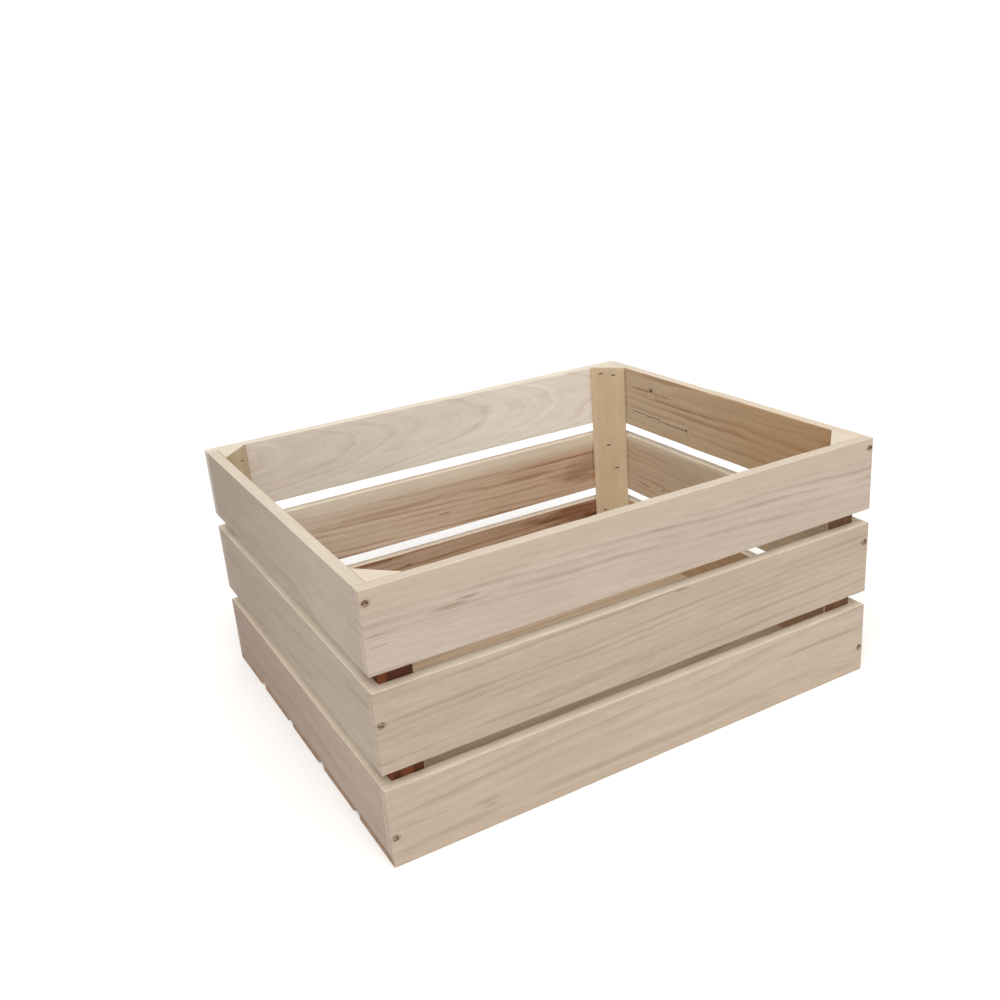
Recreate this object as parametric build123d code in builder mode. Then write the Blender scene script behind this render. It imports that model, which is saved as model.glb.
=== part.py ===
from build123d import *
import os

# A slatted wooden apple crate.
# Three rows of thin slats on each side are fixed to four three-cornered posts that fill the
# corners, and five thin boards run the long way under the walls as the floor.
# Millimetres, +Z up, +X along the long side, the front wall on the -Y side.
# The origin is the middle of the footprint, on the underside of the floor boards.

# --- driving dimensions ---
crate_length = 500.0  # X, over the ends of the front and back slats
crate_width = 405.0  # Y, over the outer faces of the front and back slats
wall_thickness = 10.5
floor_thickness = 7.0
floor_board_width = 70.5
floor_board_count = 5
bottom_slat_height = 63.5
lower_gap = 14.0
middle_slat_height = 70.5
upper_gap = 13.5
top_slat_height = 69.0
edge_easing = 0.8  # radius on the long edges of every board
seam_easing = 0.3  # sharper edges where wall and floor meet

# Legs of each post's right-angled triangle, along X and along Y: the posts are sawn by hand.
post_legs = {
    "front_left": (29.0, 29.5),
    "front_right": (32.0, 29.5),
    "back_left": (29.5, 30.5),
    "back_right": (29.5, 30.5),
}
post_easing = 0.6

# Round-headed brads that hold the long slats to the ends of the short ones.
brad_length = 28.0
brad_shank_radius = 0.7
brad_head_radius = 1.5
brad_head_thickness = 0.6
brad_sink = 0.8  # the head lies this far below the slat's face
brad_inset = 4.5  # from the slat's end to the brad
brad_heights = {
    "front_left": (26.5, 127.0, 227.0),
    "front_right": (25.5, 136.0, 228.5),
    "back_left": (28.0, 121.0, 219.0),
    "back_right": (27.0, 131.0, 220.0),
}

# Shorter nails of the same kind, driven up through the floor boards into the end slats.
floor_nail_length = 24.0
floor_nail_spacing = 44.0
floor_nail_inset = 5.0
floor_nail_sink = 0.3

# Narrow-crown staples, driven through each post's slanting face into the slats behind it.
staple_crown = 6.0
staple_leg = 19.0
staple_wire_width = 1.2
staple_wire_thickness = 1.0
staple_proud = 0.3  # the crown stands this far out of the post
# Each staple: distance across the post's face from its middle towards the end wall,
# height above the ground, and tilt of the crown in degrees.
staples = {
    "front_left": (
        (-7.0, 228.0, 4),
        (7.5, 231.5, -6),
        (-6.5, 118.0, 5),
        (8.0, 137.0, 0),
        (-7.5, 52.0, -4),
        (6.5, 44.0, 8),
    ),
    "front_right": (
        (-7.5, 226.5, -5),
        (6.5, 232.5, 3),
        (-8.0, 134.0, 6),
        (7.0, 114.0, -3),
        (-6.5, 46.0, 4),
        (7.5, 54.0, -7),
    ),
    "back_left": (
        (-8.8, 223.5, -8),
        (7.5, 213.0, -3),
        (-7.5, 112.0, -4),
        (6.5, 132.0, 3),
        (-6.5, 50.0, 6),
        (7.5, 46.0, -5),
    ),
    "back_right": (
        (-7.9, 230.0, 14),
        (7.0, 228.5, 2),
        (-1.5, 141.0, 18),
        (7.8, 112.0, 13),
        (-8.9, 56.0, 6),
        (7.0, 47.0, -4),
    ),
}

# --- derived sizes ---
half_length = crate_length / 2
half_width = crate_width / 2
inner_x = half_length - wall_thickness  # inner faces of the end walls
inner_y = half_width - wall_thickness  # inner faces of the front and back walls
end_slat_length = 2 * inner_y  # the end slats fit between the front and back slats
middle_slat_base = floor_thickness + bottom_slat_height + lower_gap
top_slat_base = middle_slat_base + middle_slat_height + upper_gap
crate_height = top_slat_base + top_slat_height
floor_gap = (crate_width - floor_board_count * floor_board_width) / (floor_board_count - 1)
floor_pitch = floor_board_width + floor_gap
first_board_y = -half_width + floor_board_width / 2

rows = {
    "bottom": (floor_thickness, bottom_slat_height),
    "middle": (middle_slat_base, middle_slat_height),
    "top": (top_slat_base, top_slat_height),
}
corners = {
    "front_left": (-1, -1),
    "front_right": (1, -1),
    "back_left": (-1, 1),
    "back_right": (1, 1),
}


def save(name, builder):
    """Label one finished piece and write it as its own file."""
    builder.part.label = name
    export_step(builder.part, f"parts/{name}.step")


# --- fasteners ---
def nail_group(seats, length, sink):
    """Round-headed nails, one for each seat: a plane on the wood's face, facing out of it."""
    with BuildPart() as group:
        for seat in seats:
            with BuildSketch(seat.offset(-sink)):
                Circle(brad_head_radius)
            extrude(amount=-brad_head_thickness)
            with BuildSketch(seat.offset(-sink)):
                Circle(brad_shank_radius)
            extrude(amount=-length)
    return group


def nail_holes(seats, length, sink):
    """The room that sunk nails take out of the wood, open at the face."""
    with BuildPart() as holes:
        for seat in seats:
            with BuildSketch(seat):
                Circle(brad_head_radius)
            extrude(amount=-(sink + brad_head_thickness))
            with BuildSketch(seat):
                Circle(brad_shank_radius)
            extrude(amount=-(sink + length))
    return holes


def staple_group(seats):
    """U-shaped staples, one for each seat: a plane on the post's face, X along the crown."""
    with BuildPart() as group:
        for seat in seats:
            with BuildSketch(seat.offset(staple_proud)):
                Rectangle(staple_crown, staple_wire_width)
            extrude(amount=-staple_wire_thickness)
            with BuildSketch(seat.offset(staple_proud)):
                with GridLocations(staple_crown - staple_wire_thickness, 0, 2, 1):
                    Rectangle(staple_wire_thickness, staple_wire_width)
            extrude(amount=-staple_leg)
    return group


def brad_seats(corner):
    """Seats on the front or back wall's outer face, one for each row of slats."""
    side_x, side_y = corners[corner]
    x = side_x * (half_length - brad_inset)
    seats = []
    for z in brad_heights[corner]:
        seats.append(Plane(origin=(x, side_y * half_width, z), x_dir=(1, 0, 0), z_dir=(0, side_y, 0)))
    return seats


def staple_seats(corner):
    """Seats on the slanting face of one post."""
    side_x, side_y = corners[corner]
    leg_x, leg_y = post_legs[corner]
    towards_end = Vector(side_x * leg_x, -side_y * leg_y, 0).normalized()
    outward = Vector(-side_x * leg_y, -side_y * leg_x, 0).normalized()
    middle = Vector(side_x * (inner_x - leg_x / 2), side_y * (inner_y - leg_y / 2), 0)
    seats = []
    for across, height, tilt in staples[corner]:
        seat_point = middle + towards_end * across + Vector(0, 0, height)
        crown_way = towards_end.rotate(Axis((0, 0, 0), outward), tilt)
        seats.append(Plane(origin=seat_point, x_dir=crown_way, z_dir=outward))
    return seats


def floor_nail_seats(side_x):
    """Seats on the underside, two in the end of each floor board."""
    seats = []
    for board in range(floor_board_count):
        for half_step in (-0.5, 0.5):
            y = first_board_y + board * floor_pitch + half_step * floor_nail_spacing
            x = side_x * (half_length - floor_nail_inset)
            seats.append(Plane(origin=(x, y, 0), x_dir=(1, 0, 0), z_dir=(0, 0, -1)))
    return seats


# --- wood ---
def wall_slat(size_x, size_y, center_x, center_y, row, cutters):
    """One slat, its long edges eased, less the room that its fasteners take."""
    base, height = rows[row]
    grain = Axis.X if size_x > size_y else Axis.Y
    lower_easing = seam_easing if row == "bottom" else edge_easing
    with BuildPart() as slat:
        with BuildSketch(Plane.XY.offset(base)):
            with Locations((center_x, center_y)):
                Rectangle(size_x, size_y)
        extrude(amount=height)
        fillet(slat.edges().filter_by(grain).group_by(Axis.Z)[-1], edge_easing)
        fillet(slat.edges().filter_by(grain).group_by(Axis.Z)[0], lower_easing)
        for cutter in cutters:
            add(cutter.part, mode=Mode.SUBTRACT)
    return slat


def floor_board(center_y, cutters):
    """One floor board, its long edges and its ends eased."""
    with BuildPart() as board:
        with BuildSketch():
            with Locations((0, center_y)):
                Rectangle(crate_length, floor_board_width)
        extrude(amount=floor_thickness)
        fillet(board.edges().filter_by(Axis.Z), 2 * edge_easing)
        fillet(board.faces().sort_by(Axis.Z)[-1].edges(), seam_easing)
        fillet(board.faces().sort_by(Axis.Z)[0].edges(), edge_easing)
        for cutter in cutters:
            add(cutter.part, mode=Mode.SUBTRACT)
    return board


def corner_post(corner, cutter):
    """One three-cornered post, its right angle in the crate's corner."""
    side_x, side_y = corners[corner]
    leg_x, leg_y = post_legs[corner]
    corner_x = side_x * inner_x
    corner_y = side_y * inner_y
    with BuildPart() as post:
        with BuildSketch(Plane.XY.offset(floor_thickness)):
            with BuildLine():
                Polyline(
                    (corner_x, corner_y),
                    (corner_x - side_x * leg_x, corner_y),
                    (corner_x, corner_y - side_y * leg_y),
                    close=True,
                )
            make_face()
        extrude(amount=crate_height - floor_thickness)
        fillet(post.edges().filter_by(Axis.Z), post_easing)
        add(cutter.part, mode=Mode.SUBTRACT)
    return post


os.makedirs("parts", exist_ok=True)

# Fasteners first, because the wood is cut to fit them.
brad_holes = {}
corner_staples = {}
for corner in corners:
    seats = brad_seats(corner)
    save(f"{corner}_brads", nail_group(seats, brad_length, brad_sink))
    brad_holes[corner] = nail_holes(seats, brad_length, brad_sink)
    corner_staples[corner] = staple_group(staple_seats(corner))
    save(f"{corner}_staples", corner_staples[corner])

floor_nail_holes = {}
for end, side_x in (("left", -1), ("right", 1)):
    seats = floor_nail_seats(side_x)
    save(f"{end}_floor_nails", nail_group(seats, floor_nail_length, floor_nail_sink))
    floor_nail_holes[end] = nail_holes(seats, floor_nail_length, floor_nail_sink)

# Posts.
for corner in corners:
    save(f"{corner}_post", corner_post(corner, corner_staples[corner]))

# Front and back slats, which run the full length and cover the ends of the end slats.
for wall, side_y in (("front", -1), ("back", 1)):
    for row in rows:
        cutters = []
        for end in ("left", "right"):
            cutters += [brad_holes[f"{wall}_{end}"], corner_staples[f"{wall}_{end}"]]
        center_y = side_y * (half_width - wall_thickness / 2)
        slat = wall_slat(crate_length, wall_thickness, 0, center_y, row, cutters)
        save(f"{wall}_{row}_slat", slat)

# End slats, between the front and the back slats.
for end, side_x in (("left", -1), ("right", 1)):
    for row in rows:
        cutters = []
        for wall in ("front", "back"):
            cutters += [brad_holes[f"{wall}_{end}"], corner_staples[f"{wall}_{end}"]]
        if row == "bottom":
            cutters.append(floor_nail_holes[end])
        center_x = side_x * (half_length - wall_thickness / 2)
        slat = wall_slat(wall_thickness, end_slat_length, center_x, 0, row, cutters)
        save(f"{end}_end_{row}_slat", slat)

# Floor boards, numbered from the front.
for board in range(floor_board_count):
    center_y = first_board_y + board * floor_pitch
    save(f"floor_board_{board + 1}", floor_board(center_y, floor_nail_holes.values()))
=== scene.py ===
import math
import random
from dataclasses import dataclass

import bmesh
import bpy
import numpy as np
from mathutils import Matrix, Vector


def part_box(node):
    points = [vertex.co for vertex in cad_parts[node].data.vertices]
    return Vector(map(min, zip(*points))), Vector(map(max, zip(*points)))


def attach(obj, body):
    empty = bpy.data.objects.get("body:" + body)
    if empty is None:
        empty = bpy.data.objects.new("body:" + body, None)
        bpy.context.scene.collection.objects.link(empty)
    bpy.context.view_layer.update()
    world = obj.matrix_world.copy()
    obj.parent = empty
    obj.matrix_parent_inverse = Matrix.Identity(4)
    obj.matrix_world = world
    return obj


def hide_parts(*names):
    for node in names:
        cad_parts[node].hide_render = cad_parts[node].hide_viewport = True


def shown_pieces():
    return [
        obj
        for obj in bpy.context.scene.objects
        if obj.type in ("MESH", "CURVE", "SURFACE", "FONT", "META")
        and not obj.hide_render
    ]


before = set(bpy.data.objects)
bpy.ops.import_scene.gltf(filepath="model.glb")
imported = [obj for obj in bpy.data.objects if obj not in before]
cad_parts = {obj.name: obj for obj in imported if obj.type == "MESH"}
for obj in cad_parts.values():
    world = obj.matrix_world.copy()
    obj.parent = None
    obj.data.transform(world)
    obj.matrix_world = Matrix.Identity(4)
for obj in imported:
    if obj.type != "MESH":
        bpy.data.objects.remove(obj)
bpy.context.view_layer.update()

# A wooden apple crate, dressed for looking at. Every wooden piece and every fastener of the CAD
# model is replaced by a finely divided mesh of the same size in the same place.
# All lengths are in metres, except where a name or comment says millimetres.

MM = 0.001
BODY = "root"


# --- places, all read from the CAD model ---

# World directions of each board's own axes: X along the grain, Y through its thickness
# from the outer face to the inner one, Z across its width.
BOARD_AXES = {
    "front": ((1, 0, 0), (0, 1, 0), (0, 0, 1)),
    "back": ((-1, 0, 0), (0, -1, 0), (0, 0, 1)),
    "left_end": ((0, -1, 0), (1, 0, 0), (0, 0, 1)),
    "right_end": ((0, 1, 0), (-1, 0, 0), (0, 0, 1)),
    "floor_board": ((1, 0, 0), (0, 0, -1), (0, 1, 0)),
}


def board_place(node):
    """The matrix that puts a board from its own axes into the crate, and its three sizes."""
    low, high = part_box(node)
    axes = next(axes for start, axes in BOARD_AXES.items() if node.startswith(start))
    turn = Matrix([Vector(a) for a in axes]).transposed()
    spans = [abs(Vector(a).dot(high - low)) for a in axes]
    place = Matrix.Translation((low + high) / 2) @ turn.to_4x4()
    return place, spans


def solids_of(node):
    """The points of each separate solid in a CAD node, as one array for each."""
    bm = bmesh.new()
    bm.from_mesh(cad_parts[node].data)
    bmesh.ops.remove_doubles(bm, verts=bm.verts, dist=MM / 1000)
    left = set(bm.verts)
    solids = []
    for start in list(bm.verts):
        if start not in left:
            continue
        left.discard(start)
        found, edge_of = [start], [start]
        while edge_of:
            vert = edge_of.pop()
            for edge in vert.link_edges:
                other = edge.other_vert(vert)
                if other in left:
                    left.discard(other)
                    found.append(other)
                    edge_of.append(other)
        solids.append(np.array([v.co for v in found]))
    bm.free()
    return solids


# --- mesh building ---

SHARP_ANGLE = math.radians(40)
TINY = 1e-9  # keeps a division from failing where a length is nothing


def make_mesh(name, points, faces):
    """A mesh from point and face lists."""
    mesh = bpy.data.meshes.new(name)
    mesh.from_pydata([tuple(p) for p in points], [], [tuple(int(i) for i in f) for f in faces])
    mesh.validate()
    return mesh


def face_outwards(mesh):
    """Turns every face of a closed mesh to look out of it."""
    bm = bmesh.new()
    bm.from_mesh(mesh)
    bmesh.ops.recalc_face_normals(bm, faces=bm.faces)
    bm.to_mesh(mesh)
    bm.free()
    return mesh


def shade(mesh):
    """Smooth shading, except across sharp edges."""
    bm = bmesh.new()
    bm.from_mesh(mesh)
    for face in bm.faces:
        face.smooth = True
    for edge in bm.edges:
        edge.smooth = edge.calc_face_angle(0) < SHARP_ANGLE
    bm.to_mesh(mesh)
    bm.free()


def add_object(name, mesh, place=Matrix.Identity(4)):
    """A new object in the scene, at the given place."""
    piece = bpy.data.objects.new(name, mesh)
    bpy.context.scene.collection.objects.link(piece)
    piece.matrix_world = place
    return piece


def tube_faces(rows, around):
    """The faces of a tube made of rows of points, closed at both ends."""
    faces = []
    for row in range(rows - 1):
        low, high = row * around, (row + 1) * around
        for i in range(around):
            j = (i + 1) % around
            faces.append((low + i, low + j, high + j, high + i))
    faces.append(tuple(range(around - 1, -1, -1)))
    faces.append(tuple(range((rows - 1) * around, rows * around)))
    return faces


def stations(length, close, step):
    """Places along a length: close together at both ends, evenly spaced between."""
    count = max(2, round((length - 2 * close[-1]) / step) + 1)
    inner = np.linspace(close[-1], length - close[-1], count)
    near = np.array(close[:-1])
    return np.concatenate([near, inner, (length - near)[::-1]]) - length / 2


def lattice_box(xs, ys, zs):
    """The surface of a box divided at the given places: points, and quads facing outwards."""
    shape = (len(xs), len(ys), len(zs))
    on_surface = np.zeros(shape, bool)
    on_surface[[0, -1]] = True
    on_surface[:, [0, -1]] = True
    on_surface[:, :, [0, -1]] = True
    index = -np.ones(shape, int)
    index[on_surface] = np.arange(on_surface.sum())
    grid = np.stack(np.meshgrid(xs, ys, zs, indexing="ij"), -1)
    quads = []
    sides = (
        (index[0], True),
        (index[-1], False),
        (index[:, 0], False),
        (index[:, -1], True),
        (index[:, :, 0], True),
        (index[:, :, -1], False),
    )
    for side, flip in sides:
        corners = [side[:-1, :-1], side[1:, :-1], side[1:, 1:], side[:-1, 1:]]
        around = np.stack(corners, -1).reshape(-1, 4)
        quads.append(around[:, ::-1] if flip else around)
    return grid[on_surface], np.concatenate(quads)


# Points lie close together near a board's edges and a post's ends, and evenly spaced between:
# along a board, through it and across it, and along a post.
NEAR_EDGE = np.array((0, 0.2, 0.45, 0.8, 1.3)) * MM
BOARD_STEPS = (3.2 * MM, 2.4 * MM, 3.4 * MM)
NEAR_POST_END = np.array((0, 0.15, 0.4)) * MM
POST_STEP = 4 * MM

WAVE_COUNT = 5  # waves added up in one random curve
WAVE_LENGTHS = (0.55, 1.0)  # how much shorter a wave may be than the longest
WAVE_HEIGHT = 1.6  # about the height of the waves added up

EASING_CHANGE, EASING_WAVE = 0.3, 0.11  # how much an edge's radius changes, over what length
EASING_LIMITS = (0.15 * MM, 1.25 * MM)
DENT_COUNT = (3, 6)  # for each long edge
DENT_PLACES = (-0.46, 0.46)  # shares of the length, from the middle
DENT_REACH = (1.5, 4.5)  # half the length of a dent, in millimetres
DENT_DEPTH = (0.15, 0.55)  # shares of the edge's radius
DENT_PUSH = 0.7
BOW = 0.3 * MM
CUP_SHARE, CUP_LEVEL = 0.4, 0.3  # how hollow a bowed board is, and where that is nothing
FREE_EDGE_HEIGHT = 0.25  # how far a free edge wanders, in millimetres
FREE_EDGE_WAVE = 0.35


def wave(places, rng, longest):
    """A smooth random curve between about -1 and 1, with no wave longer than the given length."""
    total = np.zeros(len(places))
    for k in range(WAVE_COUNT):
        length = longest * rng.uniform(*WAVE_LENGTHS) / (k + 1)
        total += np.sin(2 * math.pi * places / length + rng.uniform(0, 2 * math.pi)) / (k + 1)
    return total / WAVE_HEIGHT


def board_mesh(name, spans, easing, seed, bow=BOW, free_sides=(True, True)):
    """A board with unevenly eased edges, small dents in them, a slight bow and wavy free edges."""
    rng = random.Random(seed)
    length = spans[0]
    places = [stations(span, NEAR_EDGE, step) for span, step in zip(spans, BOARD_STEPS)]
    points, quads = lattice_box(*places)
    half = np.array(spans) / 2
    x = points[:, 0]
    # The radius of the easing wanders along each of the four long edges.
    radius = np.zeros(len(points))
    dent = np.zeros(len(points))
    for side_y in (-1, 1):
        for side_z in (-1, 1):
            here = (points[:, 1] * side_y >= 0) & (points[:, 2] * side_z >= 0)
            edge_easing = easing[side_y, side_z]
            radius[here] = edge_easing * (1 + EASING_CHANGE * wave(x[here], rng, EASING_WAVE))
            for _ in range(rng.randint(*DENT_COUNT)):
                middle = rng.uniform(*DENT_PLACES) * length
                reach = rng.uniform(*DENT_REACH) * MM
                depth = rng.uniform(*DENT_DEPTH) * edge_easing
                dent[here] += depth * np.exp(-((x[here] - middle) / reach) ** 2)
    radius = np.clip(radius, *EASING_LIMITS)[:, None]
    inner = np.clip(points, -half + radius, half - radius)
    away = points - inner
    reach = np.linalg.norm(away, axis=1, keepdims=True)
    rounded = inner + np.where(reach > 0, away / np.maximum(reach, TINY) * radius, 0)
    # Dents push in only the long edges, where the surface faces two ways.
    facing = np.abs(away) / np.maximum(reach, TINY)
    on_edge = facing[:, 1] * facing[:, 2] * 2
    rounded[:, 1:] -= np.sign(points[:, 1:]) * (dent * on_edge)[:, None] * DENT_PUSH
    # The bow is nothing at the ends, where the board is fixed.
    along = np.sin(math.pi * (x / length + 0.5)) ** 2
    cup = (rounded[:, 2] / half[2]) ** 2 - CUP_LEVEL
    rounded[:, 1] += along * (bow * rng.uniform(-1, 1) + CUP_SHARE * bow * rng.uniform(-1, 1) * cup)
    for side, free in zip((-1, 1), free_sides):
        if free:
            share = np.clip(side * rounded[:, 2] / half[2], 0, 1)
            wander = wave(x, rng, FREE_EDGE_WAVE)
            rounded[:, 2] += side * share * along * FREE_EDGE_HEIGHT * MM * wander
    return make_mesh(name, rounded, quads)


def prism_mesh(name, outline, length, easing):
    """A post: the outline, given in Y and Z, carried along X, with eased ends."""
    outline = np.array(outline)
    middle = outline.mean(0)
    xs = stations(length, NEAR_POST_END, POST_STEP)
    rings = []
    reach = np.linalg.norm(outline - middle, axis=1)
    for x in xs:
        from_end = min(x + length / 2, length / 2 - x)
        shrink = max(0.0, easing - from_end) ** 2 / (2 * easing)
        scale = 1 - shrink / reach[:, None]
        rings.append(np.column_stack([np.full(len(outline), x), middle + (outline - middle) * scale]))
    mesh = make_mesh(name, np.concatenate(rings), tube_faces(len(xs), len(outline)))
    return face_outwards(mesh)


OUTLINE_STEPS = 4  # parts of a rounded corner
OUTLINE_STEP = 2.2 * MM  # longest part of a straight side


def rounded_outline(corners, radius):
    """The outline of a flat shape with its corners rounded."""
    points = []
    for k, corner in enumerate(corners):
        before = corners[k - 1] - corner
        after = corners[(k + 1) % len(corners)] - corner
        to_before, to_after = before.normalized(), after.normalized()
        angle = to_before.angle(to_after)
        reach = radius / math.tan(angle / 2)
        centre = corner + (to_before + to_after).normalized() * (radius / math.sin(angle / 2))
        start, end = corner + to_before * reach - centre, corner + to_after * reach - centre
        for i in range(OUTLINE_STEPS + 1):
            points.append(centre + start.lerp(end, i / OUTLINE_STEPS).normalized() * radius)
    # Points along the straight sides too, so that the faces stay small.
    fine = []
    for here, after in zip(points, points[1:] + points[:1]):
        parts = max(1, round((after - here).length / OUTLINE_STEP))
        fine += [here.lerp(after, i / parts) for i in range(parts)]
    return fine


NAIL_SEGMENTS = 20
RAGGED_FROM = 1.6 * MM  # rows wider than this are uneven
LEG_TIP = 0.45  # how narrow a staple's leg is at its tip
WIRE_BEVEL = 0.25


def lathe_points(profile, axis_place, ragged=None):
    """Points and faces of a closed turned solid. The profile is (radius, distance out) from tip
    to top. A ragged list, one factor for each segment, makes the wide rows uneven."""
    points = []
    for radius, out in profile:
        for k in range(NAIL_SEGMENTS):
            a = 2 * math.pi * k / NAIL_SEGMENTS
            r = radius * ragged[k] if ragged and radius > RAGGED_FROM else radius
            points.append(axis_place @ Vector((r * math.cos(a), r * math.sin(a), out)))
    return points, tube_faces(len(profile), NAIL_SEGMENTS)


def wire_points(path, up, wide, thick):
    """A flat wire swept along a path of points in one plane; up is across the wire's width."""
    points = []
    flat = 1 - WIRE_BEVEL
    section = ((-flat, -1), (-1, -flat), (-1, flat), (-flat, 1), (flat, 1), (1, flat), (1, -flat), (flat, -1))
    for k, point in enumerate(path):
        before, after = path[max(k - 1, 0)], path[min(k + 1, len(path) - 1)]
        direction = (after - before).normalized()
        side = up.cross(direction).normalized()
        narrow = LEG_TIP if k in (0, len(path) - 1) else 1.0
        for s, t in section:
            points.append(point + up * (s * wide / 2) + side * (t * thick / 2 * narrow))
    return points, tube_faces(len(path), len(section))


class Bundle:
    """Several closed shells gathered into one mesh."""

    def __init__(self):
        self.points = []
        self.faces = []

    def add(self, points, faces):
        start = len(self.points)
        self.points += list(points)
        self.faces += [tuple(start + i for i in f) for f in faces]

    def mesh(self, name):
        return face_outwards(make_mesh(name, self.points, self.faces))


def join(bundles):
    """One mesh from several bundles of shells."""
    joined = Bundle()
    for bundle in bundles:
        joined.add(bundle.points, bundle.faces)
    return joined.mesh("cutter")


def combine(piece, other_mesh, operation):
    """Adds shells given in the crate's frame to a piece, or takes them out of it."""
    cutter = add_object("cutter", other_mesh)
    modifier = piece.modifiers.new("cut", "BOOLEAN")
    modifier.operation = operation
    modifier.solver = "MANIFOLD"
    modifier.object = cutter
    bpy.context.view_layer.update()
    evaluated = piece.evaluated_get(bpy.context.evaluated_depsgraph_get())
    result = bpy.data.meshes.new_from_object(evaluated)
    piece.modifiers.clear()
    piece.data = result
    bpy.data.objects.remove(cutter)


# --- shaders ---

TO_MM = (1000.0, 1000.0, 1000.0)
SPECULAR = 0.3  # of bare wood and of dull steel


class Shader:
    """Builds one material's nodes, a value at a time."""

    def __init__(self, name):
        self.material = bpy.data.materials.new(name)
        self.material.use_nodes = True
        self.tree = self.material.node_tree
        self.tree.nodes.clear()

    def add(self, kind, **settings):
        node = self.tree.nodes.new(kind)
        for key, value in settings.items():
            setattr(node, key, value)
        return node

    def plug(self, socket, value):
        if isinstance(value, bpy.types.NodeSocket):
            self.tree.links.new(value, socket)
        else:
            socket.default_value = value

    def math(self, operation, *values):
        node = self.add("ShaderNodeMath", operation=operation)
        for socket, value in zip(node.inputs, values):
            self.plug(socket, value)
        return node.outputs[0]

    def shifted(self, value, noise, reach):
        """The value moved up and down by a noise round one half."""
        return self.math("MULTIPLY_ADD", self.math("SUBTRACT", noise, 0.5), reach, value)

    def diagonal(self, a, b):
        """The long side of a right-angled triangle."""
        return self.math("SQRT", self.math("ADD", self.math("MULTIPLY", a, a), self.math("MULTIPLY", b, b)))

    def vector(self, operation, *values):
        node = self.add("ShaderNodeVectorMath", operation=operation)
        for socket, value in zip(node.inputs, values):
            self.plug(socket, value)
        return node.outputs["Vector"]

    def split(self, vector):
        node = self.add("ShaderNodeSeparateXYZ")
        self.plug(node.inputs[0], vector)
        return node.outputs

    def noise(self, place, along, across, detail=2.0, roughness=0.5):
        """Noise stretched along the grain, its sizes in millimetres."""
        scaled = self.vector("MULTIPLY", place, (1 / along, 1 / across, 1 / across))
        node = self.add("ShaderNodeTexNoise")
        self.plug(node.inputs["Vector"], scaled)
        node.inputs["Scale"].default_value = 1.0
        node.inputs["Detail"].default_value = detail
        node.inputs["Roughness"].default_value = roughness
        return node.outputs["Fac"]

    def spread(self, value, low, high, to_low=0.0, to_high=1.0):
        """A smooth step from one value to another."""
        node = self.add("ShaderNodeMapRange", interpolation_type="SMOOTHSTEP")
        keys = ("Value", "From Min", "From Max", "To Min", "To Max")
        for key, number in zip(keys, (value, low, high, to_low, to_high)):
            self.plug(node.inputs[key], number)
        return node.outputs["Result"]

    def mix(self, factor, a, b, blend="MIX"):
        node = self.add("ShaderNodeMix", data_type="RGBA", blend_type=blend)
        for key, value in zip((0, 6, 7), (factor, a, b)):
            if isinstance(value, tuple):
                value = (*value, 1.0)
            self.plug(node.inputs[key], value)
        return node.outputs[2]

    def finish(self, color, roughness, height, bump_distance, metallic=0.0):
        shader = self.add("ShaderNodeBsdfPrincipled")
        self.plug(shader.inputs["Base Color"], color)
        self.plug(shader.inputs["Roughness"], roughness)
        shader.inputs["Specular IOR Level"].default_value = SPECULAR
        shader.inputs["Metallic"].default_value = metallic
        bump = self.add("ShaderNodeBump")
        bump.inputs["Strength"].default_value = 1.0
        bump.inputs["Distance"].default_value = bump_distance
        self.plug(bump.inputs["Height"], height)
        self.plug(shader.inputs["Normal"], bump.outputs["Normal"])
        output = self.add("ShaderNodeOutputMaterial")
        self.tree.links.new(shader.outputs[0], output.inputs["Surface"])
        return self.material


@dataclass
class Look:
    """How one piece of wood was sawn and what marks it has. Lengths are in millimetres, in the
    board's own axes from its middle; colours are linear."""
    seed: float
    pith: tuple  # where the log's heart lies, through the board and across it
    cream: tuple  # the lighter colour of the wood
    tan: tuple  # the darker one, in blotches
    lean: tuple = (0.0, 0.02)  # how far the heart shifts for each millimetre along
    ring: float = 9.5  # width of one year's growth
    contrast: float = 0.6
    wobble: float = 16.0  # how far the rings wander
    streak: tuple = (0.66, 0.585, 0.55)  # what the dark part of a ring does to the colour
    end_tint: tuple = (0.97, 0.96, 0.95)  # what the cut ends do to the colour
    edge: tuple = (0.66, 0.575, 0.465)  # the colour of the narrow edges: paler sawn wood, with painted light on the top edges
    stains_and_shadows: tuple = ()  # (along, across, half length, half width, strength) of stains, and of painted shadow lines
    stain_and_shadow_face: float = 1.0  # 1 where stains, painted shadow lines, cracks and band are on the inner face, -1 on the outer
    stain_and_shadow_tint: tuple = (0.55, 0.38, 0.28)
    knots: tuple = ()  # (along, across, radius)
    cracks: tuple = ()  # (along, across, half length, slope)
    heart: tuple = ()  # the dark colour of a post's sawn sides, where it has them: dark heartwood, with painted shade and painted red bounce light of the space behind the slats
    heart_step: float = 1.3  # how much lighter the light stripes of the heartwood are
    fade: tuple = ()  # what the colour is multiplied by towards one end
    fade_way: float = 1.0  # which end that is, along X
    band: tuple = ()  # (across, half width, strength, colour) of a band of another colour


SAPWOOD = (0.74, 0.66, 0.54)
BRUISE_TINT = (0.66, 0.52, 0.44)
KNOT_COLOR = (0.09, 0.04, 0.018)
# The dark of the cracks, also used as painted shade on the walls of the nail holes.
CRACK_AND_HOLE_SHADE_COLOR = (0.055, 0.026, 0.013)

# Noise in the wood: its size in millimetres, along the grain and across it.
RING_DRIFT = (260, 75)
PATCH = (120, 10)
FIBRE = (24, 0.4)
PORE = (6.5, 0.32)
SPECKLE = (2.4, 1.3)
CLOUD = (42, 9)
BLOTCH = (150, 24)
STAIN_EDGE = (40, 5)
BAND_EDGE = (220, 18)
BROKEN = (2.5, 2.5)
CRACK_BEND = (9, 9)
HEART_STRIPE = (70, 8)

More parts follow.
